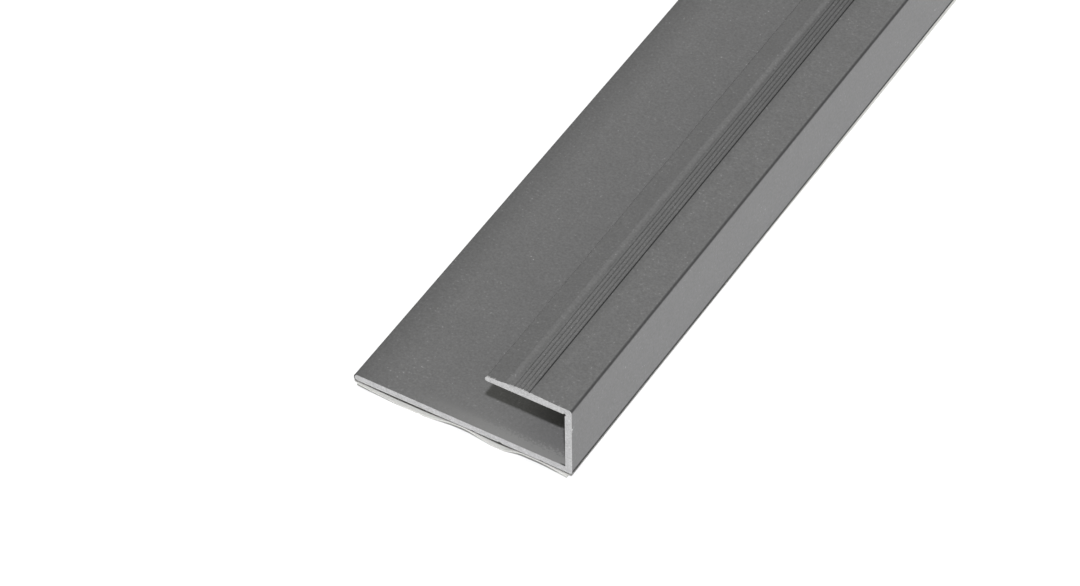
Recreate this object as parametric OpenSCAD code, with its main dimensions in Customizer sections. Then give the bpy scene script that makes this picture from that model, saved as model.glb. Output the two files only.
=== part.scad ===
// Floor-edge end profile: an aluminium extrusion with a long base leg, an upright web and a
// short ribbed flange that covers the edge of the floor boards. A self-adhesive strip lies
// under the base leg. The length runs along Y, the web is on the +X side, and the sawn end
// that faces the viewer is at -Y. The strip's underside rests on the plane Z = 0.

/* [Extrusion] */
// Length of the cut stock
length = 900; // [200:50:2700]
// Width of the base leg, from its free end to the outer face of the web
base_width = 32.5; // [24:0.5:45]
// Height of the extrusion, from under the base leg to the top of the flange
height = 11.6; // [8:0.1:20]
// Reach of the flange, from the outer face of the web to its tip
flange_width = 12.6; // [11:0.1:18]

/* [Walls] */
// Thickness of the base leg
base_wall = 1.05; // [0.9:0.05:2]
// Thickness of the web
web_wall = 1.0; // [0.8:0.05:2]
// Thickness of the flange behind its taper
flange_wall = 1.07; // [0.9:0.01:2]

/* [Edges] */
// Radius on the edge between web and flange
top_edge_radius = 0.45; // [0.2:0.05:0.8]
// Radius on the edge between web and base leg
heel_radius = 0.3; // [0.2:0.05:0.8]
// Radius on both edges of the base leg's free end
base_end_radius = 0.42; // [0.2:0.02:0.44]
// Radius of the nose at the flange's tip
tip_radius = 0.34; // [0.2:0.02:0.42]
// Radius of the relief in the corner under the flange
corner_relief_radius = 0.2; // [0.1:0.02:0.35]

/* [Ribbed band of the flange] */
// Width of the sloping top, from the crest to the tip
taper_width = 3.0; // [2:0.1:4]
// Width of the low ramp that rises to the crest
ramp_width = 0.9; // [0.4:0.05:1.2]
// Depth of the ribbed band below the flat top
band_recess = 0.08; // [0.02:0.02:0.2]
// Number of fine grooves
fine_groove_count = 4; // [2:1:6]
// Distance from one fine groove to the next
fine_groove_pitch = 0.54; // [0.4:0.02:0.7]
// Width of a fine groove at the top
fine_groove_width = 0.26; // [0.15:0.01:0.35]
// Depth of a fine groove below the band
fine_groove_depth = 0.1; // [0.05:0.01:0.3]
// Distance from the deep groove to the first fine groove
deep_groove_gap = 0.6; // [0.5:0.02:1]
// Width of the deep groove at the top
deep_groove_width = 0.26; // [0.2:0.01:0.6]
// Width of the deep groove at its floor
deep_groove_floor = 0.16; // [0.1:0.01:0.2]
// Depth of the deep groove below the flat top
deep_groove_depth = 0.26; // [0.2:0.01:0.5]

/* [Adhesive strip] */
// Thickness of the strip with its release liner
strip_thickness = 1.2; // [0.8:0.05:2]
// Width of the strip
strip_width = 31; // [20:0.5:32]
// Distance of the strip's middle line from the base leg's, towards the web
strip_shift = 0.2; // [0:0.05:0.5]
// How far the strip wanders to each side along its length
strip_wander = 0.25; // [0:0.05:0.5]
// Length of one full wander to and fro
wander_period = 200; // [100:10:400]
// Thickness of the liner where it has come loose
liner_thickness = 0.25; // [0.1:0.05:0.5]
// Length of the loose liner behind the sawn end
loose_length = 3; // [1:0.5:8]
// How far the loose liner stands out of the sawn end
liner_overhang = 0.1; // [0:0.05:1]
// Place of the first sag of the loose liner, from its free edge
first_sag_at = 8.2; // [6:0.1:10]
// Place of the second sag
second_sag_at = 20.9; // [18:0.1:23]
// Place of the third sag, at the edge by the web
third_sag_at = 33.4; // [31:0.1:36]

/* [Hidden] */
$fn = 64;
// room that a cutter has beyond the surface that it cuts
cut_room = 0.5;
// share of the relief's radius by which its middle stands in the channel
relief_shift = 0.15;
// how far the loose liner reaches into the strip that it belongs to
liner_root = 0.5;
// each sag of the loose liner: place, reach to the left, reach to the right, share of the drop
sags = [
    [first_sag_at, 14, 7.5, 1],
    [second_sag_at, 5.5, 3.8, 0.95],
    [third_sag_at, 5.5, 5.5, 0.7]
];
// steps of the drawn wave and of the strip's wandering edge
wave_steps = 60;
wander_steps = 4 * ceil(4 * length / wander_period);

web_inside = base_width - web_wall;
flange_under = height - flange_wall;
// places across the flange are measured from the outer face of the web
function from_web(reach) = base_width - reach;
crest = flange_width - taper_width;
ramp_start = crest - ramp_width;
last_fine_groove = ramp_start - fine_groove_pitch / 2;
first_fine_groove = last_fine_groove - (fine_groove_count - 1) * fine_groove_pitch;
deep_groove = first_fine_groove - deep_groove_gap;
band_top = height - band_recess;
// the slope leaves the crest and touches the round nose
nose = [from_web(flange_width - tip_radius), flange_under + tip_radius];
slope_run = nose - [from_web(crest), height];
slope_angle = atan2(slope_run[1], slope_run[0]) - asin(tip_radius / norm(slope_run));
slope_length = sqrt(norm(slope_run) * norm(slope_run) - tip_radius * tip_radius);
slope_foot = [from_web(crest), height] + slope_length * [cos(slope_angle), sin(slope_angle)];

// share of the drop of the loose liner at a distance from its free edge
function half_wave(d, reach) = abs(d) < reach ? (1 + cos(180 * d / reach)) / 2 : 0;
function sag_share(at) = min(1,
    sags[0][3] * half_wave(at - sags[0][0], at < sags[0][0] ? sags[0][1] : sags[0][2])
    + sags[1][3] * half_wave(at - sags[1][0], at < sags[1][0] ? sags[1][1] : sags[1][2])
    + sags[2][3] * half_wave(at - sags[2][0], at < sags[2][0] ? sags[2][1] : sags[2][2]));
function liner_top(at) = strip_thickness - (strip_thickness - liner_thickness) * sag_share(at);
// sideways place of the strip's middle line, from the middle of the base leg
function strip_middle(along) = strip_shift - strip_wander * cos(360 * along / wander_period);

// What a rounded edge takes off a square corner at the origin, on the side of +X and +Y
module edge_round(radius) {
    difference() {
        translate([-cut_room, -cut_room]) square(radius + cut_room);
        translate([radius, radius]) circle(radius);
    }
}

// A groove's outline below a top line, as wide as given at the top and at its floor
module groove(width, floor_width, depth) {
    polygon([
        [-width / 2, 0], [-floor_width / 2, -depth], [floor_width / 2, -depth],
        [width / 2, 0], [width / 2, cut_room], [-width / 2, cut_room]
    ]);
}

// A V groove's outline below a top line
module v_groove(width, depth) {
    polygon([
        [-width / 2, 0], [0, -depth], [width / 2, 0],
        [width / 2, cut_room], [-width / 2, cut_room]
    ]);
}

// The extrusion's section before its grooves and rounded edges, with the base leg's free end
// at the origin
module outline() {
    polygon([
        [0, 0], [base_width, 0], [base_width, height],
        [from_web(deep_groove), height], [from_web(deep_groove), band_top],
        [from_web(ramp_start), band_top], [from_web(crest), height],
        slope_foot, nose, [nose[0], flange_under],
        [web_inside, flange_under], [web_inside, base_wall], [0, base_wall]
    ]);
    translate(nose) circle(tip_radius);
}

// The extrusion's section
module section() {
    difference() {
        outline();
        edge_round(base_end_radius);
        translate([0, base_wall]) rotate(-90) edge_round(base_end_radius);
        translate([base_width, 0]) rotate(90) edge_round(heel_radius);
        translate([base_width, height]) rotate(180) edge_round(top_edge_radius);
        translate([web_inside, flange_under] - relief_shift * corner_relief_radius * [1, 1])
            circle(corner_relief_radius);
        translate([from_web(deep_groove), height])
            groove(deep_groove_width, deep_groove_floor, deep_groove_depth);
        for (i = [0 : fine_groove_count - 1])
            translate([from_web(first_fine_groove + i * fine_groove_pitch), band_top])
                v_groove(fine_groove_width, fine_groove_depth);
    }
}

// Stands a drawn section up and runs it along Y
module along_y(from, to) {
    translate([0, to, 0]) rotate([90, 0, 0]) linear_extrude(to - from) children();
}

// The aluminium extrusion, one piece
module profile() {
    color([0.43, 0.43, 0.44])
        translate([-base_width / 2, 0, strip_thickness])
            along_y(-length / 2, length / 2) section();
}

// The strip's outline on the floor, behind its loose end
module strip_outline() {
    step = (length - loose_length) / wander_steps;
    polygon(concat(
        [for (i = [0 : wander_steps])
            [strip_middle(loose_length + i * step) + strip_width / 2,
             loose_length + i * step - length / 2]],
        [for (i = [wander_steps : -1 : 0])
            [strip_middle(loose_length + i * step) - strip_width / 2,
             loose_length + i * step - length / 2]]
    ));
}

// The loose end of the liner, which sags in waves from the base leg to the floor
module liner_outline() {
    step = strip_width / wave_steps;
    polygon(concat(
        [for (i = [0 : wave_steps]) [i * step, liner_top(i * step)]],
        [for (i = [wave_steps : -1 : 0]) [i * step, liner_top(i * step) - liner_thickness]]
    ));
}

// The self-adhesive strip with its release liner, one piece
module adhesive_strip() {
    color([0.86, 0.85, 0.82]) {
        linear_extrude(strip_thickness) strip_outline();
        translate([strip_middle(loose_length) - strip_width / 2, 0, 0])
            along_y(-length / 2 - liner_overhang, -length / 2 + loose_length + liner_root)
                liner_outline();
    }
}

profile();
adhesive_strip();
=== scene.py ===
# %% [markdown]
# # A floor-edge profile, sawn to length
#
# The object is one length of aluminium extrusion: a wide base leg, an upright web and a short ribbed
# flange. An off-white adhesive strip with its release liner lies under the base leg. This lesson
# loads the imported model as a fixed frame, dresses it with finer pieces of the same size, and lights
# it as on a white table.

# %% Load the frame
import math
import random

import bmesh
import bpy
from mathutils import Matrix, Vector


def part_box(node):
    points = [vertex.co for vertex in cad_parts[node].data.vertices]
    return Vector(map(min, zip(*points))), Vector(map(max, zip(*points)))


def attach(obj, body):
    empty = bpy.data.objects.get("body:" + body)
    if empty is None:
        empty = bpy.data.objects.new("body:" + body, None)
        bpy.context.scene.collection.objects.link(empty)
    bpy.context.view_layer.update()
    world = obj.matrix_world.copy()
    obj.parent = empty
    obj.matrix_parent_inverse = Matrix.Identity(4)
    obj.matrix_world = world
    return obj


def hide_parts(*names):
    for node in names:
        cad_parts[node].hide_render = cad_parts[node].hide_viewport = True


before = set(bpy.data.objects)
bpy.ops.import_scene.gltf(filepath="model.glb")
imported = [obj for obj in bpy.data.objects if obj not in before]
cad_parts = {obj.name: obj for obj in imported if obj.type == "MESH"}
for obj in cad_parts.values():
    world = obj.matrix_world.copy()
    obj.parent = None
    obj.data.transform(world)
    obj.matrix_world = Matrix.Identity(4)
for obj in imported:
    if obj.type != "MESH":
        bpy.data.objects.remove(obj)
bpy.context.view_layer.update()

# %% [markdown]
# ## The camera
#
# The straight edges of a long profile say a lot about the camera: their vanishing points give its
# angles, and the known section gives its distance. A long lens looked down on the sawn end from the
# right, 46 degrees above the table. The camera is turned by its angles and then moved back from the
# point it looks at.

# %% Camera
scene = bpy.context.scene
scene.view_settings.view_transform = "Standard"

MM = 0.001
SENSOR_WIDTH = 36.0
IMAGE_WIDTH = 1080
FOCAL_PIXELS = 4752.0
LOOK_AT = Vector((2.31, -434.49, 12.93)) * MM
DISTANCE = 601.3 * MM
AZIMUTH = math.radians(31.856)
ELEVATION = math.radians(45.561)
ROLL = math.radians(-0.963)

camera_data = bpy.data.cameras.new("camera")
camera_data.sensor_width = SENSOR_WIDTH
camera_data.sensor_fit = "HORIZONTAL"
camera_data.lens = FOCAL_PIXELS / IMAGE_WIDTH * SENSOR_WIDTH
camera_data.clip_start = 0.01
camera_data.clip_end = 200.0
camera = bpy.data.objects.new("camera", camera_data)
scene.collection.objects.link(camera)
turn = Matrix.Rotation(AZIMUTH, 4, "Z") @ Matrix.Rotation(math.pi / 2 - ELEVATION, 4, "X")
turn = turn @ Matrix.Rotation(ROLL, 4, "Z")
camera.matrix_world = Matrix.Translation(LOOK_AT) @ turn @ Matrix.Translation((0.0, 0.0, DISTANCE))
scene.camera = camera
print("lens of", round(camera_data.lens, 1), "mm, from", round(DISTANCE, 3), "m")

# %% [markdown]
# ## The section
#
# An extrusion is pushed through a die, so one drawn section is the whole shape. It is drawn here in
# millimetres from the free end of the base leg, with the same sizes as the solid model but with finer
# arcs: the solid's own mesh has only a few facets on edges that are rounded by less than half a
# millimetre. The overall sizes come from the frame.

# %% Sizes of the section, in millimetres
profile_low, profile_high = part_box("profile")
LENGTH = (profile_high.y - profile_low.y) / MM
BASE_WIDTH = (profile_high.x - profile_low.x) / MM
HEIGHT = (profile_high.z - profile_low.z) / MM
STRIP_THICKNESS = profile_low.z / MM

BASE_WALL = 1.05
WEB_WALL = 1.0
FLANGE_WALL = 1.07
FLANGE_WIDTH = 12.6
TOP_EDGE_RADIUS = 0.45
HEEL_RADIUS = 0.3
BASE_END_RADIUS = 0.42
TIP_RADIUS = 0.34
RELIEF_RADIUS = 0.2
RELIEF_SHIFT = 0.15

web_inside = BASE_WIDTH - WEB_WALL
flange_under = HEIGHT - FLANGE_WALL
print("section", round(BASE_WIDTH, 2), "by", round(HEIGHT, 2), "mm, length", round(LENGTH, 1))

# %% [markdown]
# ## The ribbed band
#
# Four fine V grooves and one deep groove give the flange its grip. They sit in a band that is sunk a
# little below the flat top, and a low ramp rises from the band to a crest, where the slope to the tip
# begins.

# %% Sizes of the ribbed band, in millimetres
TAPER_WIDTH = 3.0
RAMP_WIDTH = 0.9
BAND_RECESS = 0.08
FINE_GROOVES = 4
FINE_PITCH = 0.54
FINE_WIDTH = 0.26
FINE_DEPTH = 0.1
DEEP_GAP = 0.6
DEEP_WIDTH = 0.26
DEEP_FLOOR = 0.16
DEEP_DEPTH = 0.26

tip = BASE_WIDTH - FLANGE_WIDTH
crest = tip + TAPER_WIDTH
ramp_foot = crest + RAMP_WIDTH
fine_places = [ramp_foot + FINE_PITCH * (i + 0.5) for i in range(FINE_GROOVES)]
deep_place = fine_places[-1] + DEEP_GAP
print("grooves at", [round(x, 2) for x in fine_places + [deep_place]])

# %% [markdown]
# ## Two marks on each point
#
# Two things depend on the place on the section. The first is how much painted shade a thin line gets: the
# grooves, the rounded edges, the heel, the slope and the tip are painted darker where they would stand in
# shade or mirror the dark part of the room. The second is how far the saw's burr, a smear of bare metal,
# is rolled over the edge behind the cut. Each point of the outline carries both, and the mesh keeps them
# as attributes for the materials.

# %% Points, arcs and their marks
# painted shade on the heel, the rounded top edge, the grooves and their edges, the ramp's foot, the
# slope, the tip and the free end of the base leg
DARK_HEEL = 0.92
DARK_CORNER = 0.78
DARK_DEEP = 0.88
DARK_FINE = 0.46
DARK_LIP = 0.15
DARK_FOOT = 0.2
DARK_TAPER = 0.1
DARK_TIP = 0.26
DARK_BASE_END = 0.14
TIP_DARKENS = 0.1
ROUND_STEPS = 12


def point(x, z, dark=0.0, burr=0.0):
    """A point of the section, with its darkness and the reach of the burr behind the cut."""
    return (x, z, dark, burr)


def arc(centre, radius, start, end, dark=lambda t: 0.0, burr=0.0, steps=ROUND_STEPS):
    """Points on an arc between two angles in degrees; darkness is a function of the share of the way."""
    points = []
    for i in range(steps + 1):
        share = i / steps
        angle = math.radians(start + (end - start) * share)
        x = centre[0] + radius * math.cos(angle)
        z = centre[1] + radius * math.sin(angle)
        points.append(point(x, z, dark(share), burr))
    return points


def corner_dark(share):
    """The painted dark line on the rounded edge between web and flange is strongest on the side of the
    web.
    """
    middle, reach = 0.4, 0.42
    return DARK_CORNER * max(0.0, 1.0 - ((share - middle) / reach) ** 2)


def tip_dark(share):
    """Painted shade: the slope is a little dark, and the nose of the tip quickly becomes darker."""
    return DARK_TAPER + (DARK_TIP - DARK_TAPER) * min(1.0, share / TIP_DARKENS)


print("arcs have", ROUND_STEPS, "steps")

# %% [markdown]
# ## Underside and web
#
# The outline is walked with the metal on the left hand: along the underside, up the web, back over the
# flange and home along the channel. A curve with bevelled corners could give the same shape, but plain
# points can carry the two marks. The underside has many points, so that the rim of the cut can follow its
# nicks. The web has a painted dark line of shade at its heel and one small flake of burr.

# %% Underside and web
UNDERSIDE_STEPS = 128
HEEL_LINE = 1.5 * HEEL_RADIUS
HEEL_FADE = 2.5 * HEEL_RADIUS
TOP_EDGE_FADE = 1.5 * TOP_EDGE_RADIUS
FLAKE_HEIGHT = 8.2
FLAKE_SIZE = 0.3
FLAKE_BURR = 0.6


def underside_and_web():
    """From the lower edge of the free end to the foot of the rounded top edge."""
    end = (BASE_END_RADIUS, BASE_END_RADIUS)
    heel = (BASE_WIDTH - HEEL_RADIUS, HEEL_RADIUS)
    points = arc(end, BASE_END_RADIUS, 180, 270)
    for i in range(1, UNDERSIDE_STEPS):
        points.append(point(end[0] + (heel[0] - end[0]) * i / UNDERSIDE_STEPS, 0.0))
    points += arc(heel, HEEL_RADIUS, 270, 360, dark=lambda t: DARK_HEEL)
    points += [point(BASE_WIDTH, HEEL_LINE, DARK_HEEL), point(BASE_WIDTH, HEEL_FADE)]
    points.append(point(BASE_WIDTH, FLAKE_HEIGHT - FLAKE_SIZE))
    points.append(point(BASE_WIDTH, FLAKE_HEIGHT, burr=FLAKE_BURR))
    points.append(point(BASE_WIDTH, FLAKE_HEIGHT + FLAKE_SIZE))
    points.append(point(BASE_WIDTH, HEIGHT - TOP_EDGE_FADE))
    return points


print("underside and web:", len(underside_and_web()), "points")

# %% [markdown]
# ## Top of the flange
#
# The top is flat next to the web, then drops into the deep groove and runs on over the fine grooves
# to the crest. Near the cut the burr has closed the grooves, so this part of the walk takes the share
# of their depth that is open.

# %% Top of the flange
LIP_BURR = 0.34
LIP_END = BASE_WIDTH - 4.9


def flange_top(open_share):
    """From the rounded top edge to the crest, over the deep groove and the fine grooves."""
    top_edge = (BASE_WIDTH - TOP_EDGE_RADIUS, HEIGHT - TOP_EDGE_RADIUS)
    points = arc(top_edge, TOP_EDGE_RADIUS, 0, 90, dark=corner_dark)
    band = HEIGHT - BAND_RECESS * open_share
    floor = HEIGHT - DEEP_DEPTH * open_share
    wall_run = (DEEP_WIDTH - DEEP_FLOOR) / 2 * BAND_RECESS / DEEP_DEPTH
    points.append(point(LIP_END, HEIGHT, burr=LIP_BURR / 3))
    points.append(point(deep_place + DEEP_WIDTH / 2, HEIGHT, DARK_LIP, LIP_BURR))
    points.append(point(deep_place + DEEP_FLOOR / 2, floor, DARK_DEEP, LIP_BURR))
    points.append(point(deep_place - DEEP_FLOOR / 2, floor, DARK_DEEP, LIP_BURR))
    points.append(point(deep_place - DEEP_WIDTH / 2 + wall_run, band, DARK_LIP, LIP_BURR))
    for groove in reversed(fine_places):
        points.append(point(groove + FINE_WIDTH / 2, band, 0.0, LIP_BURR))
        points.append(point(groove, band - FINE_DEPTH * open_share, DARK_FINE, LIP_BURR))
        points.append(point(groove - FINE_WIDTH / 2, band, 0.0, LIP_BURR))
    points.append(point(ramp_foot, band, DARK_FOOT, LIP_BURR / 2))
    points.append(point((ramp_foot + crest) / 2, (band + HEIGHT) / 2))
    points.append(point(crest, HEIGHT))
    return points


print("top of the flange:", len(flange_top(1.0)), "points")

# %% [markdown]
# ## Tip and channel
#
# The slope runs into the round nose of the tip without a kink, so the arc starts where the slope touches
# it. The corner under the flange has a small round relief. A few points lie close together in the lower
# corner, which is painted dark at the cut, and near the free end of the base leg, which gets a little
# painted shade.

# %% Tip and channel
TIP_BURR = 0.42
# share of the slope and reach of the burr at each point
SLOPE_POINTS = ((0.05, 0.0), (0.5, 0.0), (0.6, TIP_BURR / 2))
DARK_SPOT_SIZE = 0.2
# painted shade on the free end of the base leg starts at the plain place and is full from the shaded one
# outwards
BASE_END_SHADED = 2.5
BASE_END_PLAIN = 5.0


def tip_and_channel():
    """From the slope round the nose of the tip, into the channel and out along the base leg."""
    nose = (tip + TIP_RADIUS, flange_under + TIP_RADIUS)
    run = (nose[0] - crest, nose[1] - HEIGHT)
    slope = math.atan2(run[1], run[0]) + 2 * math.pi - math.asin(TIP_RADIUS / math.hypot(*run))
    start = math.degrees(slope) - 90
    rounded = arc(nose, TIP_RADIUS, start, 270, tip_dark, TIP_BURR, steps=2 * ROUND_STEPS)
    foot = rounded[0]
    points = []
    for share, burr in SLOPE_POINTS:
        x = crest + (foot[0] - crest) * share
        z = HEIGHT + (foot[1] - HEIGHT) * share
        points.append(point(x, z, DARK_TAPER, burr))
    points += rounded
    relief = (web_inside - RELIEF_SHIFT * RELIEF_RADIUS, flange_under - RELIEF_SHIFT * RELIEF_RADIUS)
    meets = math.degrees(math.asin(RELIEF_SHIFT))
    points += arc(relief, RELIEF_RADIUS, 180 - meets, meets - 90, steps=3 * ROUND_STEPS)
    points.append(point(web_inside, BASE_WALL + 3 * DARK_SPOT_SIZE))
    points.append(point(web_inside, BASE_WALL))
    points.append(point(web_inside - 2 * DARK_SPOT_SIZE, BASE_WALL))
    points.append(point(web_inside - 5 * DARK_SPOT_SIZE, BASE_WALL))
    points += [point(BASE_END_PLAIN, BASE_WALL), point(BASE_END_SHADED, BASE_WALL, DARK_BASE_END)]
    end = (BASE_END_RADIUS, BASE_WALL - BASE_END_RADIUS)
    points += arc(end, BASE_END_RADIUS, 90, 180, dark=lambda t: 2 * DARK_BASE_END)
    return points


def section_points(open_share=1.0):
    """The closed outline of the extrusion."""
    return underside_and_web() + flange_top(open_share) + tip_and_channel()


outline = section_points()
print(len(outline), "points round the section")

# %% [markdown]
# ## Painted shade on the rim, the corners and the ribs
#
# The lower edge of the cut has a rim of painted shade, two corners of the cut are painted dark, and
# painted shade on the ribs and on the nose of the tip grows darker further from the cut. An image texture
# could show this, but it would need an unwrapped mesh. A small test on the place of each point does it
# too, and the marks follow the section when its sizes change.

# %% Painted shade on the rim, the corners and the ribs
RIM_DARK = 0.78
RIM_WEAK = 0.5
RIM_WEAK_LENGTH = 7.0
# place on the section and size of each corner that is painted dark
INNER_CORNER = (web_inside, BASE_WALL, 2.5 * DARK_SPOT_SIZE)
TOP_CORNER = (BASE_WIDTH - DARK_SPOT_SIZE / 2, HEIGHT - DARK_SPOT_SIZE / 2, DARK_SPOT_SIZE)
DARK_SPOT_LENGTH = 0.2


def is_lower_edge(x, z):
    """True on the underside, on the heel's round and all round the free end of the base leg."""
    return z < HEEL_RADIUS / 2 or x < BASE_END_RADIUS


def rim_tone(x):
    """Painted shade on the lower edge of the cut: full on the round free end, then weak, then full again.
    """
    if x < BASE_END_RADIUS:
        return RIM_DARK
    return min(RIM_DARK, RIM_WEAK + (RIM_DARK - RIM_WEAK) * x / RIM_WEAK_LENGTH)


def is_dark_corner(x, z, behind):
    """True at the two corners of the cut that are painted dark."""
    if behind > DARK_SPOT_LENGTH:
        return False
    for spot_x, spot_z, size in (INNER_CORNER, TOP_CORNER):
        if math.hypot(x - spot_x, z - spot_z) < size:
            return True
    return False


def gets_far_shade(x, z):
    """True where painted shade grows further from the cut: on the ribs, from the foot of the ramp to the
    deep groove, and on the nose of the tip.
    """
    on_ribs = ramp_foot <= x < deep_place - DEEP_FLOOR / 2
    on_nose = x < tip + TIP_RADIUS / 2
    return z > flange_under and (on_ribs or on_nose)


# the two corners are painted dark up to this distance behind the cut
print("dirt up to", DARK_SPOT_LENGTH, "mm behind the cut")

# %% [markdown]
# ## The rings of the extrusion
#
# The outline is swept along Y. Most of the length needs no points, but the last few millimetres at each
# end do: there the burr closes the grooves, the bare smear runs out and the painted dark lines of the
# grooves begin to show. Further in, the painted shade on the ribs and the nose of the tip grows darker,
# up to the innermost ring of each end, and between these two rings nothing changes.

# %% Rings along the length
GROOVE_OPENS = 0.4
GROOVE_DARKENS = 3.0
GROOVE_FAINT = 0.1
FAR_SHADE_FROM = 12.0
FAR_SHADE_FULL = 85.0
FAR_SHADE_DARK = 0.25
END_RINGS = (0.0, 0.15, 0.3, 0.6, 3.0, FAR_SHADE_FROM, FAR_SHADE_FULL)


def place(x, z, along):
    """A point of the section at a place along the length, in metres, in the frame of the part."""
    return Vector(((x - BASE_WIDTH / 2) * MM, along * MM, (z + STRIP_THICKNESS) * MM))


def add_ring(mesh, dark, bare, along):
    """One ring of points; how far it lies behind the nearest cut sets the marks that it carries."""
    behind = LENGTH / 2 - abs(along)
    open_share = min(1.0, behind / GROOVE_OPENS)
    dark_share = min(1.0, GROOVE_FAINT + behind / GROOVE_DARKENS)
    far_shade = FAR_SHADE_DARK * max(0.0, behind - FAR_SHADE_FROM) / (FAR_SHADE_FULL - FAR_SHADE_FROM)
    ring = []
    for x, z, tone, burr in section_points(open_share):
        vert = mesh.verts.new(place(x, z, along))
        in_band = crest < x < LIP_END and z > flange_under
        vert[dark] = tone * dark_share if in_band else tone
        if gets_far_shade(x, z):
            vert[dark] += far_shade
        if is_dark_corner(x, z, behind):
            vert[dark] = RIM_DARK
        elif behind == 0.0 and is_lower_edge(x, z):
            vert[dark] = rim_tone(x)
        vert[bare] = max(0.0, 1.0 - behind / burr) if burr > 0.0 else 0.0
        ring.append(vert)
    return ring


print("rings", END_RINGS, "mm behind each cut")

# %% [markdown]
# ## The sawn ends
#
# The saw leaves a bright face. Its lower edge and the rounded free end of the base leg get a thin rim of
# painted shade, a dark line where the metal meets the gap under it. The rim is two narrow loops inside
# the outline; elsewhere the loops are a hairline, so that the painted dark lines of the finish don't run
# into the bare metal. A few nicks make the rim wider.

# %% Sawn ends with their rim
RIM_WIDTH = 0.08
END_RIM_WIDTH = 0.16
RIM_FADES = 0.75
HAIRLINE = 0.008
# place along the edge and height of each nick
NICKS = ((21.85, 0.3), (17.8, 0.12), (28.0, 0.14))
NICK_REACH = 0.35


def rim_width(x, z):
    """Width of the dark rim at a point of the outline."""
    if not is_lower_edge(x, z):
        return HAIRLINE
    width = END_RIM_WIDTH if x < BASE_END_RADIUS else RIM_WIDTH
    for middle, tall in NICKS:
        width += tall * max(0.0, 1.0 - abs(x - middle) / NICK_REACH)
    return width


def inset(points, i, distance):
    """One point of a closed outline, moved inwards by a distance."""
    before, after = points[i - 1], points[(i + 1) % len(points)]
    along = Vector((after[0] - before[0], after[1] - before[1])).normalized()
    return (points[i][0] - along.y * distance, points[i][1] + along.x * distance)


def add_loop(mesh, dark, along, share, dark_share):
    """A loop of points inside the outline of a cut, at a share of the rim's width and of its darkness."""
    points = section_points(0.0)
    loop = []
    for i, (x, z, *_) in enumerate(points):
        vert = mesh.verts.new(place(*inset(points, i, share * rim_width(x, z)), along))
        vert[dark] = dark_share * rim_tone(x) if is_lower_edge(x, z) else 0.0
        loop.append(vert)
    return loop


def bridge(mesh, near, far, slot):
    """Faces between two rings with the same number of points."""
    for i in range(len(near)):
        j = (i + 1) % len(near)
        mesh.faces.new((near[i], near[j], far[j], far[i])).material_index = slot


def add_sawn_end(mesh, dark, ring, along):
    """Closes an end and returns its flat face."""
    rim = add_loop(mesh, dark, along, RIM_FADES, 1.0)
    field = add_loop(mesh, dark, along, 1.0, 0.0)
    bridge(mesh, ring, rim, 1)
    bridge(mesh, rim, field, 1)
    cap = mesh.faces.new(field)
    cap.material_index = 1
    return cap


print("rim", RIM_WIDTH, "mm wide,", len(NICKS), "nicks")

# %% [markdown]
# ## The extrusion's mesh
#
# Edges that turn by more than ten degrees stay crisp and the rounded ones are shaded smooth. A long
# flat face next to a small round one would pick up its tilt, so a Weighted Normal modifier lets the
# large faces keep theirs.

# %% Extrusion mesh
CRISP_ANGLE = 10.0


def mark_crisp_edges(mesh, degrees):
    """Shades the mesh smooth, apart from edges that turn by more than this angle."""
    for edge in mesh.edges:
        edge.smooth = edge.calc_face_angle(math.pi) < math.radians(degrees)
    for face in mesh.faces:
        face.smooth = True


def add_object(name, mesh):
    """Turns a bmesh into an object of the scene."""
    data = bpy.data.meshes.new(name)
    mesh.to_mesh(data)
    mesh.free()
    made = bpy.data.objects.new(name, data)
    scene.collection.objects.link(made)
    return made


def build_extrusion():
    """The swept section with its two sawn ends."""
    mesh = bmesh.new()
    dark = mesh.verts.layers.float.new("painted_shade")
    bare = mesh.verts.layers.float.new("bare_metal")
    stations = [d - LENGTH / 2 for d in END_RINGS] + [LENGTH / 2 - d for d in reversed(END_RINGS)]
    rings = [add_ring(mesh, dark, bare, y) for y in stations]
    for near, far in zip(rings, rings[1:]):
        bridge(mesh, near, far, 0)
    caps = [add_sawn_end(mesh, dark, rings[i], stations[i]) for i in (0, -1)]
    mesh.normal_update()
    bmesh.ops.triangulate(mesh, faces=caps)
    bmesh.ops.recalc_face_normals(mesh, faces=mesh.faces)
    mesh.normal_update()
    mark_crisp_edges(mesh, CRISP_ANGLE)
    return add_object("extrusion", mesh)


extrusion = build_extrusion()
flats = extrusion.modifiers.new("flat_faces_stay_flat", "WEIGHTED_NORMAL")
flats.keep_sharp = True
print("extrusion:", len(extrusion.data.polygons), "faces")

# %% [markdown]
# ## The adhesive strip
#
# The strip is a soft tape on the underside of the base leg. Along the length it lies flat on the
# table, and its edges wander by a quarter of a millimetre because it was laid by hand. The flat part
# is a wavy outline, raised to the thickness of the strip.

# %% Flat part of the strip
STRIP_WIDTH = 31.0
STRIP_SHIFT = 0.2
STRIP_WANDER = 0.25
WANDER_PERIOD = 200.0
LOOSE_LENGTH = 3.0
STRIP_STEPS = 180


def strip_middle(behind):
    """Sideways place of the strip's middle line at a distance behind the sawn end."""
    return STRIP_SHIFT - STRIP_WANDER * math.cos(2 * math.pi * behind / WANDER_PERIOD)


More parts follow.
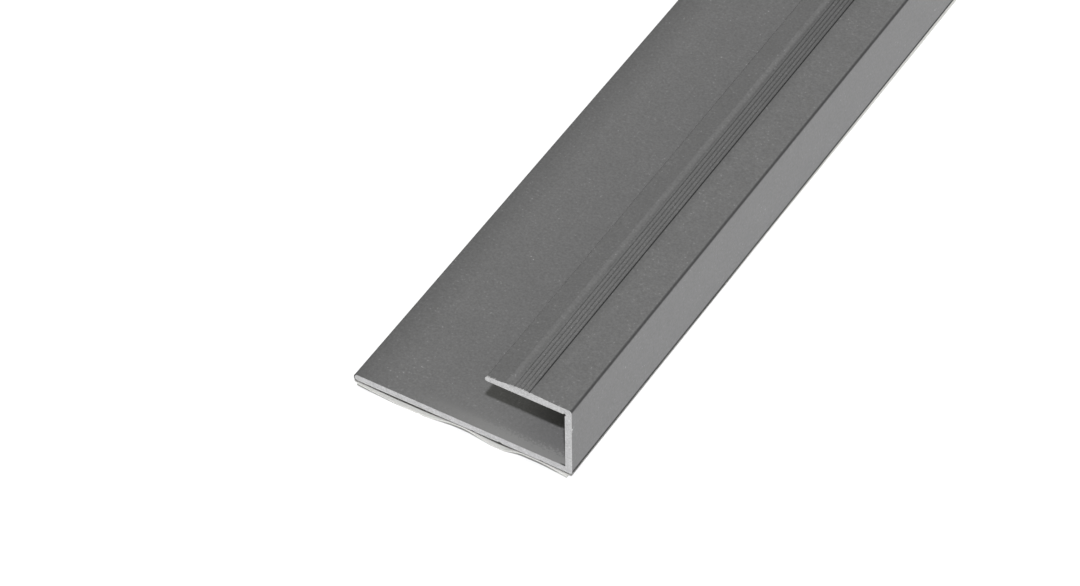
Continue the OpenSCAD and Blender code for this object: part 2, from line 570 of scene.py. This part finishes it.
def add_flat_strip(mesh):
    """The strip from behind its loose end to the far cut."""
    rows = []
    for i in range(STRIP_STEPS + 1):
        behind = LOOSE_LENGTH + (LENGTH - LOOSE_LENGTH) * i / STRIP_STEPS
        row = []
        for side, high in ((-1, 0), (1, 0), (1, 1), (-1, 1)):
            x = strip_middle(behind) + side * STRIP_WIDTH / 2
            row.append(mesh.verts.new(Vector((x, behind - LENGTH / 2, high * STRIP_THICKNESS)) * MM))
        rows.append(row)
    for near, far in zip(rows, rows[1:]):
        bridge(mesh, near, far, 0)
    mesh.faces.new(rows[0][::-1])
    mesh.faces.new(rows[-1])


print("strip", STRIP_WIDTH, "by", round(STRIP_THICKNESS, 2), "mm")

# %% [markdown]
# ## The loose liner
#
# At the sawn end the thin liner has come loose and hangs in waves between the base leg and the table,
# which shows as a light wavy line under the metal, with dark gaps above and below it, partly real shadow
# and partly painted shade. Each sag is half a cosine wave to each side of its lowest place. Scissors left
# the front edge a little uneven, with one small notch. The liner is a little wider than the tape, so that
# a finger can grip it, and its left end carries a painted shadow.

# %% Waves of the liner
LINER_SPARE = 0.25
LINER_STEPS = 160
LINER_OVERHANG = 0.1
LEAST_SAG = 0.08
# place of each sag, its reach to the left and to the right, and its share of the drop
SAGS = ((8.2, 14.0, 7.5, 1.0), (20.9, 5.5, 3.8, 0.95), (33.4, 7.0, 5.5, 0.75))
EDGE_SEED = 7
EDGE_SWING = 0.03
EDGE_SMOOTHING = 14
NOTCH_AT = 9.1
NOTCH_DEPTH = 0.12
NOTCH_REACH = 0.3


def sag_share(at):
    """How far down the liner hangs, from 0 at the base leg to 1 on the table."""
    share = LEAST_SAG
    for middle, reach_left, reach_right, drop in SAGS:
        reach = reach_left if at < middle else reach_right
        if abs(at - middle) < reach:
            share += drop * (1 + math.cos(math.pi * (at - middle) / reach)) / 2
    return min(1.0, share)


def liner_place(i):
    """Distance across the liner from the edge of the tape, at one step."""
    return (STRIP_WIDTH + LINER_SPARE) * i / LINER_STEPS - LINER_SPARE


def uneven_edge():
    """How far back the front edge of the liner stands at each step, in millimetres."""
    draw = random.Random(EDGE_SEED)
    back = [draw.uniform(-1.0, 1.0) for _ in range(LINER_STEPS + 1)]
    for _ in range(EDGE_SMOOTHING):
        padded = [back[0]] + back + [back[-1]]
        back = [sum(padded[i:i + 3]) / 3 for i in range(LINER_STEPS + 1)]
    most = max(abs(value) for value in back)
    back = [EDGE_SWING * value / most for value in back]
    for i in range(LINER_STEPS + 1):
        at = liner_place(i)
        back[i] -= (LINER_OVERHANG - EDGE_SWING) * sag_share(at)
        back[i] += NOTCH_DEPTH * max(0.0, 1.0 - abs(at - NOTCH_AT) / NOTCH_REACH)
    return back


print("the liner hangs in", len(SAGS), "waves")

# %% [markdown]
# ## The sheet of the liner
#
# The sheet is a loop of points round its thickness, repeated at each step across. The points carry
# painted shade: the top is painted dark behind the front edge, in the gap under the metal, and the
# underside is painted dark as the shadow under it where the sheet is lifted off the table and along its
# left end. The front edge stays light down to a line, and below it the painted dark begins.

# %% Liner mesh
LINER_THICKNESS = 0.25
LINER_ROWS = (0.45, 0.75, LOOSE_LENGTH + 0.3)
LINE_HEIGHT = 0.65
GAP_FROM = 0.5
GAP_DARK = 0.4
LIFTED_DARK = 0.9
# painted shadow under the left end of the sheet, fading over this length
LEFT_END_SHADE = 0.9
LEFT_END_SHADE_LENGTH = 8.0
TAPE_CRISP_ANGLE = 30.0


def liner_loop(at, front):
    """Points round the sheet at one place across: how far back, how high in the sheet, and how much
    painted shade.
    """
    gap = GAP_DARK * sag_share(at)
    left_shade = LEFT_END_SHADE * max(0.0, 1.0 - at / LEFT_END_SHADE_LENGTH)
    lifted = max(left_shade, LIFTED_DARK * (1.0 - sag_share(at)) ** 2)
    over = [(front, 1.0, 0.0)] + [(back, 1.0, gap if back > GAP_FROM else 0.0) for back in LINER_ROWS]
    under = [(back, 0.0, lifted) for back in reversed(LINER_ROWS)] + [(front, 0.0, lifted)]
    return over + under + [(front, LINE_HEIGHT, 0.0)]


def add_liner(mesh, dark):
    """The loose sheet at the sawn end."""
    left = strip_middle(LOOSE_LENGTH) - STRIP_WIDTH / 2
    loops = []
    for i, front in enumerate(uneven_edge()):
        at = liner_place(i)
        underside = (STRIP_THICKNESS - LINER_THICKNESS) * (1.0 - sag_share(at))
        loop = []
        for back, high, tone in liner_loop(at, front):
            spot = Vector((left + at, back - LENGTH / 2, underside + high * LINER_THICKNESS))
            vert = mesh.verts.new(spot * MM)
            vert[dark] = tone
            loop.append(vert)
        loops.append(loop)
    for near, far in zip(loops, loops[1:]):
        bridge(mesh, near, far, 0)
    mesh.faces.new(loops[0])
    mesh.faces.new(loops[-1])


def build_strip():
    """The flat strip and its loose liner, in one mesh."""
    mesh = bmesh.new()
    dark = mesh.verts.layers.float.new("painted_shade")
    add_flat_strip(mesh)
    add_liner(mesh, dark)
    bmesh.ops.recalc_face_normals(mesh, faces=mesh.faces)
    mesh.normal_update()
    mark_crisp_edges(mesh, TAPE_CRISP_ANGLE)
    return add_object("tape_strip", mesh)


tape_strip = build_strip()
print("tape strip:", len(tape_strip.data.polygons), "faces")

# %% [markdown]
# ## Helpers for nodes
#
# A material is a graph of nodes. Two helpers keep the graphs short: one makes a Math node from
# numbers or sockets, the other makes a node group with named sockets. A group is made once and placed
# in several materials, so an effect that the finishes share is written only once.

# %% Node helpers
def calculate(tree, operation, *values):
    """A Math node whose inputs are numbers or sockets."""
    node = tree.nodes.new("ShaderNodeMath")
    node.operation = operation
    for socket, value in zip(node.inputs, values):
        if isinstance(value, (int, float)):
            socket.default_value = value
        else:
            tree.links.new(value, socket)
    return node.outputs[0]


def new_group(name, inputs, outputs):
    """A shader node group with named sockets, and its two ends."""
    group = bpy.data.node_groups.new(name, "ShaderNodeTree")
    for label, kind in inputs:
        group.interface.new_socket(label, in_out="INPUT", socket_type=kind)
    for label, kind in outputs:
        group.interface.new_socket(label, in_out="OUTPUT", socket_type=kind)
    return group, group.nodes.new("NodeGroupInput"), group.nodes.new("NodeGroupOutput")


print("node groups so far:", len(bpy.data.node_groups))

# %% [markdown]
# ## A grain that every surface shares
#
# Matt anodising, a sawn face and paper all have a fine random grain; only its size and strength
# differ. One node group makes it from two noises in the part's own coordinates: a soft one for
# blotches and a sharp one for specks. Each material places the group with its own values.

# %% Grain group
NUMBER = "NodeSocketFloat"
SPECK_DETAIL = 2.0
SPECK_ROUGHNESS = 0.7
BLOTCH_DETAIL = 3.0


def build_grain_group():
    """Specks and blotches, mixed by a share."""
    sockets = [(label, NUMBER) for label in ("Speck Scale", "Blotch Scale", "Blotch Share")]
    group, start, end = new_group("fine_grain", sockets, [("Grain", NUMBER)])
    where = group.nodes.new("ShaderNodeTexCoord")
    specks = group.nodes.new("ShaderNodeTexNoise")
    specks.inputs["Detail"].default_value = SPECK_DETAIL
    specks.inputs["Roughness"].default_value = SPECK_ROUGHNESS
    blotches = group.nodes.new("ShaderNodeTexNoise")
    blotches.inputs["Detail"].default_value = BLOTCH_DETAIL
    for texture, label in ((specks, "Speck Scale"), (blotches, "Blotch Scale")):
        group.links.new(where.outputs["Object"], texture.inputs["Vector"])
        group.links.new(start.outputs[label], texture.inputs["Scale"])
    broad_share = start.outputs["Blotch Share"]
    fine_share = calculate(group, "SUBTRACT", 1.0, broad_share)
    fine = calculate(group, "MULTIPLY", specks.outputs[0], fine_share)
    grain = calculate(group, "MULTIPLY_ADD", blotches.outputs[0], broad_share, fine)
    group.links.new(grain, end.inputs["Grain"])
    return group


fine_grain = build_grain_group()
print("group", fine_grain.name)

# %% [markdown]
# ## Dark edges
#
# The grooves, the rounded edges, the rim of the sawn face and the loose liner carry painted shade as thin
# dark lines. The mesh carries how dark they are as a number on each point, and this group mixes a colour
# with a dark grey by that number. The same number makes the surface rough, so that the painted lines
# don't shine.

# %% Dark edge group
COLOUR = "NodeSocketColor"
EDGE_GREY = (0.035, 0.035, 0.035, 1.0)
DARK_LINE_ROUGHNESS = 1.0


def build_edge_group():
    """Mixes a colour towards painted shade and a roughness towards full by the number on each point."""
    sockets = [("Color", COLOUR), ("Roughness", NUMBER)]
    group, start, end = new_group("dark_edges", sockets, sockets)
    edge = group.nodes.new("ShaderNodeAttribute")
    edge.attribute_name = "painted_shade"
    darkened = group.nodes.new("ShaderNodeMix")
    darkened.data_type = "RGBA"
    darkened.inputs["B"].default_value = EDGE_GREY
    group.links.new(edge.outputs["Fac"], darkened.inputs["Factor"])
    group.links.new(start.outputs["Color"], darkened.inputs["A"])
    group.links.new(darkened.outputs["Result"], end.inputs["Color"])
    dusty = group.nodes.new("ShaderNodeMix")
    dusty.inputs["B"].default_value = DARK_LINE_ROUGHNESS
    group.links.new(edge.outputs["Fac"], dusty.inputs["Factor"])
    group.links.new(start.outputs["Roughness"], dusty.inputs["A"])
    group.links.new(dusty.outputs["Result"], end.inputs["Roughness"])
    return group


dark_edges = build_edge_group()
print("group", dark_edges.name)

# %% [markdown]
# ## Placing the groups in a material
#
# Each finish of the part starts from a Principled shader, takes the grain for its colour, roughness
# and bump, and passes its colour through the dark edges. These few helpers do that, so that each
# material below is short.

# %% Material helpers
GRAIN_LOW = 0.3
GRAIN_HIGH = 0.7


def new_material(name):
    """A material with a Principled shader, and the shader."""
    material = bpy.data.materials.new(name)
    material.use_nodes = True
    return material, material.node_tree, material.node_tree.nodes["Principled BSDF"]


def place_grain(tree, speck_scale, blotch_scale, blotch_share):
    """The grain group in a material, with its own values."""
    node = tree.nodes.new("ShaderNodeGroup")
    node.node_tree = fine_grain
    node.inputs["Speck Scale"].default_value = speck_scale
    node.inputs["Blotch Scale"].default_value = blotch_scale
    node.inputs["Blotch Share"].default_value = blotch_share
    return node.outputs["Grain"]


def blend_colours(tree, grain, low, high):
    """A colour between two, by the grain."""
    ramp = tree.nodes.new("ShaderNodeValToRGB")
    ends = ((GRAIN_LOW, low), (GRAIN_HIGH, high))
    for element, (position, colour) in zip(ramp.color_ramp.elements, ends):
        element.position = position
        element.color = (*colour, 1.0)
    tree.links.new(grain, ramp.inputs[0])
    return ramp.outputs[0]


def mix_colours(tree, factor, first, second):
    """A colour socket mixed with a plain colour by a mask."""
    node = tree.nodes.new("ShaderNodeMix")
    node.data_type = "RGBA"
    tree.links.new(factor, node.inputs["Factor"])
    tree.links.new(first, node.inputs["A"])
    node.inputs["B"].default_value = (*second, 1.0)
    return node.outputs["Result"]


def darken_edges(tree, colour, roughness, shader):
    """Takes a colour and a roughness through the dark edges to the shader."""
    node = tree.nodes.new("ShaderNodeGroup")
    node.node_tree = dark_edges
    tree.links.new(colour, node.inputs["Color"])
    tree.links.new(roughness, node.inputs["Roughness"])
    tree.links.new(node.outputs["Color"], shader.inputs["Base Color"])
    tree.links.new(node.outputs["Roughness"], shader.inputs["Roughness"])


print("grain from", GRAIN_LOW, "to", GRAIN_HIGH)

# %% [markdown]
# ## Roughness and fine relief
#
# Matt metal, a sawn face and paper differ mostly in how rough and how uneven they are. That relief is
# far too fine for the mesh, so it is bump from the shared grain. Coordinates that are first stretched
# or turned give a texture its direction, as for lines from the die or from the teeth of a saw.

# %% Roughness and relief helpers
BUMP_HEIGHT = 0.05 * MM


def map_place(tree, setting, values):
    """The part's own coordinates, stretched by Scale or turned by Rotation."""
    where = tree.nodes.new("ShaderNodeTexCoord")
    mapping = tree.nodes.new("ShaderNodeMapping")
    mapping.inputs[setting].default_value = values
    tree.links.new(where.outputs["Object"], mapping.inputs["Vector"])
    return mapping.outputs["Vector"]


def roughen(tree, grain, share, least):
    """Roughness that grows with the grain from a least value."""
    return calculate(tree, "MULTIPLY_ADD", grain, share, least)


def set_bump(tree, height, strength, shader):
    """Fine relief from a socket."""
    bump = tree.nodes.new("ShaderNodeBump")
    bump.inputs["Strength"].default_value = strength
    bump.inputs["Distance"].default_value = BUMP_HEIGHT
    tree.links.new(height, bump.inputs["Height"])
    tree.links.new(bump.outputs["Normal"], shader.inputs["Normal"])


print("bump of", BUMP_HEIGHT / MM, "mm")

# %% [markdown]
# ## Painted light in the channel, and bare places
#
# Two places show brighter metal. On the base leg, at the mouth of the channel, light is painted in a
# ragged band behind the cut and as a faint haze further in, growing towards the web and fading towards
# the free end. On the edges of the cut, the burr is bare. Each is a mask from 0 to 1 that the grain makes
# ragged.

# %% Masks for painted light and bare places
LIGHT_BAND_LENGTH = 1.8 * MM
LIGHT_BAND_FADE = 0.9 * MM
LIGHT_BAND_RAGGED = 4.5 * MM
LIGHT_HAZE_LENGTH = 10.0 * MM
LIGHT_HAZE_SHARE = 0.35
LIGHT_BAND_FROM = (4.0 - BASE_WIDTH / 2) * MM
LIGHT_BAND_FULL = (32.0 - BASE_WIDTH / 2) * MM
CHANNEL_END = (web_inside - BASE_WIDTH / 2) * MM
CHANNEL_FLOOR = (BASE_WALL + STRIP_THICKNESS) * MM
MASK_EDGE = 0.1 * MM
GRAIN_MIDDLE = 0.5
BURR_RAGGED = 1.5
BURR_FAINT = 0.2
BURR_FULL = 0.55


def fade(tree, value, low, high):
    """Runs smoothly from 0 to 1 while a socket runs from low to high."""
    node = tree.nodes.new("ShaderNodeMapRange")
    node.interpolation_type = "SMOOTHSTEP"
    node.inputs["From Min"].default_value = low
    node.inputs["From Max"].default_value = high
    tree.links.new(value, node.inputs["Value"])
    return node.outputs["Result"]


def make_ragged(tree, value, grain, amount):
    """Moves a socket to and fro with the grain."""
    swing = calculate(tree, "SUBTRACT", grain, GRAIN_MIDDLE)
    return calculate(tree, "MULTIPLY_ADD", swing, amount, value)


def channel_light_mask(tree, grain):
    """Painted light: the band behind the cut and a faint haze further in, both on the floor of the
    channel.
    """
    where = tree.nodes.new("ShaderNodeTexCoord")
    split = tree.nodes.new("ShaderNodeSeparateXYZ")
    tree.links.new(where.outputs["Object"], split.inputs[0])
    x, y, z = split.outputs
    ragged = make_ragged(tree, y, grain, LIGHT_BAND_RAGGED)
    band_end = profile_low.y + LIGHT_BAND_LENGTH
    band = fade(tree, ragged, band_end + LIGHT_BAND_FADE, band_end - LIGHT_BAND_FADE)
    haze = fade(tree, y, profile_low.y + LIGHT_HAZE_LENGTH, profile_low.y)
    both = calculate(tree, "MAXIMUM", band, calculate(tree, "MULTIPLY", haze, LIGHT_HAZE_SHARE))
    across = fade(tree, x, LIGHT_BAND_FROM, LIGHT_BAND_FULL)
    inside = fade(tree, x, CHANNEL_END, CHANNEL_END - MASK_EDGE)
    low = fade(tree, z, CHANNEL_FLOOR + 2 * MASK_EDGE, CHANNEL_FLOOR + MASK_EDGE)
    limits = calculate(tree, "MULTIPLY", calculate(tree, "MULTIPLY", across, inside), low)
    return calculate(tree, "MULTIPLY", both, limits)


def burr_mask(tree, grain):
    """The bare smear on the edges of the cut."""
    reach = tree.nodes.new("ShaderNodeAttribute")
    reach.attribute_name = "bare_metal"
    ragged = make_ragged(tree, reach.outputs["Fac"], grain, BURR_RAGGED)
    return fade(tree, ragged, BURR_FAINT, BURR_FULL)


# the band of painted light reaches this far behind the cut
print("rubbed for", LIGHT_BAND_LENGTH / MM, "mm behind the cut")

# %% [markdown]
# ## Matt grey anodising
#
# The extrusion was etched matt before it was anodised in grey, so it is a rough metal that still
# mirrors the white table at a low angle. The grain varies its grey and roughness a little, and very
# faint lines from the die run along the length: a noise that is stretched along Y.

# %% Anodised material
GREY_LOW = (0.157, 0.157, 0.158)
GREY_HIGH = (0.217, 0.217, 0.218)
# grey of the painted light on the floor of the channel
CHANNEL_LIGHT_GREY = (0.34, 0.34, 0.336)
BARE_GREY = (0.62, 0.62, 0.625)
ANODISED_METAL = 0.32
ANODISED_SHINE = 0.25
# scale of the specks, scale of the blotches and share of the blotches
ANODISED_GRAIN = (3000.0, 260.0, 0.15)
# what the grain adds and the least roughness
ANODISED_ROUGHNESS = (0.12, 0.33)
ANODISED_BUMP = 0.17
DIE_LINE_SCALE = 2500.0
DIE_LINE_STRETCH = (1.0, 0.004, 1.0)
DIE_LINE_SHARE = 0.25


def build_anodised():
    """The grey skin, with its painted light in the channel, its bare places and its painted dark edges.
    """
    material, tree, shader = new_material("matt_grey_anodised")
    shader.inputs["Metallic"].default_value = ANODISED_METAL
    shader.inputs["Specular IOR Level"].default_value = ANODISED_SHINE
    grain = place_grain(tree, *ANODISED_GRAIN)
    colour = blend_colours(tree, grain, GREY_LOW, GREY_HIGH)
    colour = mix_colours(tree, channel_light_mask(tree, grain), colour, CHANNEL_LIGHT_GREY)
    colour = mix_colours(tree, burr_mask(tree, grain), colour, BARE_GREY)
    darken_edges(tree, colour, roughen(tree, grain, *ANODISED_ROUGHNESS), shader)
    die_lines = tree.nodes.new("ShaderNodeTexNoise")
    die_lines.inputs["Scale"].default_value = DIE_LINE_SCALE
    tree.links.new(map_place(tree, "Scale", DIE_LINE_STRETCH), die_lines.inputs["Vector"])
    relief = calculate(tree, "MULTIPLY_ADD", die_lines.outputs[0], DIE_LINE_SHARE, grain)
    set_bump(tree, relief, ANODISED_BUMP, shader)
    return material


anodised = build_anodised()
print("material", anodised.name)

# %% [markdown]
# ## The bare sawn end
#
# The saw cuts through the grey skin and leaves bright bare metal with the fine marks of its teeth.
# The teeth pass in nearly straight, slanted lines, so a wave texture with some distortion gives the
# marks as bump and roughness, and the shared grain breaks them up.

# %% Sawn material
SAWN_LOW = (0.375, 0.375, 0.377)
SAWN_HIGH = (0.68, 0.68, 0.685)
SAWN_GRAIN = (3500.0, 500.0, 0.4)
SAWN_ROUGHNESS = (0.12, 0.38)
SAWN_BUMP = 0.4
TOOTH_SLANT = (0.0, math.radians(62.0), 0.0)
TOOTH_SCALE = 900.0
TOOTH_DISTORTION = 3.0
TOOTH_DETAIL = 3.0
TOOTH_SHARE = 0.6


def build_sawn():
    """Bare metal with the slanted marks of the saw's teeth."""
    material, tree, shader = new_material("bare_sawn_aluminium")
    shader.inputs["Metallic"].default_value = 1.0
    grain = place_grain(tree, *SAWN_GRAIN)
    teeth = tree.nodes.new("ShaderNodeTexWave")
    teeth.inputs["Scale"].default_value = TOOTH_SCALE
    teeth.inputs["Distortion"].default_value = TOOTH_DISTORTION
    teeth.inputs["Detail"].default_value = TOOTH_DETAIL
    tree.links.new(map_place(tree, "Rotation", TOOTH_SLANT), teeth.inputs["Vector"])
    relief = calculate(tree, "MULTIPLY_ADD", teeth.outputs["Fac"], TOOTH_SHARE, grain)
    colour = blend_colours(tree, grain, SAWN_LOW, SAWN_HIGH)
    darken_edges(tree, colour, roughen(tree, relief, *SAWN_ROUGHNESS), shader)
    set_bump(tree, relief, SAWN_BUMP, shader)
    return material


sawn = build_sawn()
extrusion.data.materials.append(anodised)
extrusion.data.materials.append(sawn)
print("material", sawn.name)

# %% [markdown]
# ## Off-white tape and liner
#
# The strip is a soft tape with a paper liner: matt, almost white, with a faint grain. It needs no
# metal and little gloss, so the grain only moves its tint, its roughness and its bump.

# %% Liner material
LINER_LOW = (0.6, 0.6, 0.575)
LINER_HIGH = (0.74, 0.74, 0.71)
LINER_GRAIN = (2600.0, 350.0, 0.5)
LINER_ROUGHNESS = (0.2, 0.55)
LINER_BUMP = 0.2


def build_liner():
    """Matt off-white paper and tape."""
    material, tree, shader = new_material("off_white_liner")
    grain = place_grain(tree, *LINER_GRAIN)
    colour = blend_colours(tree, grain, LINER_LOW, LINER_HIGH)
    darken_edges(tree, colour, roughen(tree, grain, *LINER_ROUGHNESS), shader)
    set_bump(tree, grain, LINER_BUMP, shader)
    return material


liner = build_liner()
tape_strip.data.materials.append(liner)
print("material", liner.name)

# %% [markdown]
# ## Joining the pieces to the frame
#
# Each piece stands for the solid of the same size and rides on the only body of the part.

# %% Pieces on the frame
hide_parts("profile")
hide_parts("adhesive_strip")
for piece, finish in ((extrusion, "aluminium"), (tape_strip, "liner")):
    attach(piece, "root")
print("pieces:", extrusion.name, tape_strip.name)

# %% [markdown]
# ## White table
#
# The table is plain white and takes its brightness from the lamp and the room. Close to the part it
# would turn a little grey, so it glows very faintly for the camera and for mirror rays, and it keeps
# the dark lines of contact.

# %% Table
TABLE_SIZE = 15.0
TABLE_WHITE = (0.97, 0.97, 0.97, 1.0)
TABLE_GLOW = 0.06


def build_table():
    """A white sheet under the part that belongs to the stage."""
    mesh = bmesh.new()
    bmesh.ops.create_grid(mesh, x_segments=1, y_segments=1, size=TABLE_SIZE)
    made = add_object("table", mesh)
    material = bpy.data.materials.new("white_table")
    material.use_nodes = True
    tree = material.node_tree
    tree.nodes.clear()
    path = tree.nodes.new("ShaderNodeLightPath")
    seen = path.outputs["Is Camera Ray"]
    for ray in ("Is Glossy Ray", "Is Transmission Ray"):
        seen = calculate(tree, "MAXIMUM", seen, path.outputs[ray])
    lit = tree.nodes.new("ShaderNodeBsdfDiffuse")
    lit.inputs["Color"].default_value = TABLE_WHITE
    glow = tree.nodes.new("ShaderNodeEmission")
    tree.links.new(calculate(tree, "MULTIPLY", seen, TABLE_GLOW), glow.inputs["Strength"])
    both = tree.nodes.new("ShaderNodeAddShader")
    tree.links.new(lit.outputs[0], both.inputs[0])
    tree.links.new(glow.outputs[0], both.inputs[1])
    output = tree.nodes.new("ShaderNodeOutputMaterial")
    tree.links.new(both.outputs[0], output.inputs["Surface"])
    made.data.materials.append(material)
    return made


table = build_table()
print(table.name, 2 * TABLE_SIZE, "m wide")

# %% [markdown]
# ## One main lamp
#
# The sharp shadow of the flange in the channel tells where the main lamp stood: over the viewer's
# shoulder, 56 degrees up, and small for its distance. A sun lamp gives such a shadow and lights a
# long part evenly from end to end, where a point lamp would leave the far end dark.

# %% Lamp
LAMP_STRENGTH = 2.9
LAMP_SPREAD = math.radians(2.0)
LAMP_COLOUR = (0.97, 0.97, 1.0)
LAMP_WAY = Vector((3.55, -5.46, 9.6))

lamp_data = bpy.data.lights.new("main_lamp", "SUN")
lamp_data.energy = LAMP_STRENGTH
lamp_data.color = LAMP_COLOUR
lamp_data.angle = LAMP_SPREAD
lamp = bpy.data.objects.new("main_lamp", lamp_data)
lamp.rotation_mode = "QUATERNION"
lamp.rotation_quaternion = LAMP_WAY.to_track_quat("Z", "Y")
scene.collection.objects.link(lamp)
print("lamp strength", lamp_data.energy)

# %% [markdown]
# ## A dim room
#
# The room is dark near the horizon and brighter overhead, which gives the flat faces their grey and
# leaves the rounded edges dark. A world colour that follows the height of the ray is enough for that.

# %% Room
# height of the ray and colour of the room there
ROOM_LOW = (0.1, (0.08, 0.08, 0.075, 1.0))
ROOM_HIGH = (0.75, (0.46, 0.46, 0.43, 1.0))

world = bpy.data.worlds.new("dim_room")
world.use_nodes = True
scene.world = world
tree = world.node_tree
room = tree.nodes["Background"]
where = tree.nodes.new("ShaderNodeTexCoord")
split = tree.nodes.new("ShaderNodeSeparateXYZ")
tree.links.new(where.outputs["Generated"], split.inputs[0])
by_height = tree.nodes.new("ShaderNodeValToRGB")
for element, (position, colour) in zip(by_height.color_ramp.elements, (ROOM_LOW, ROOM_HIGH)):
    element.position = position
    element.color = colour
tree.links.new(split.outputs["Z"], by_height.inputs[0])
tree.links.new(by_height.outputs[0], room.inputs["Color"])
print("world", world.name)
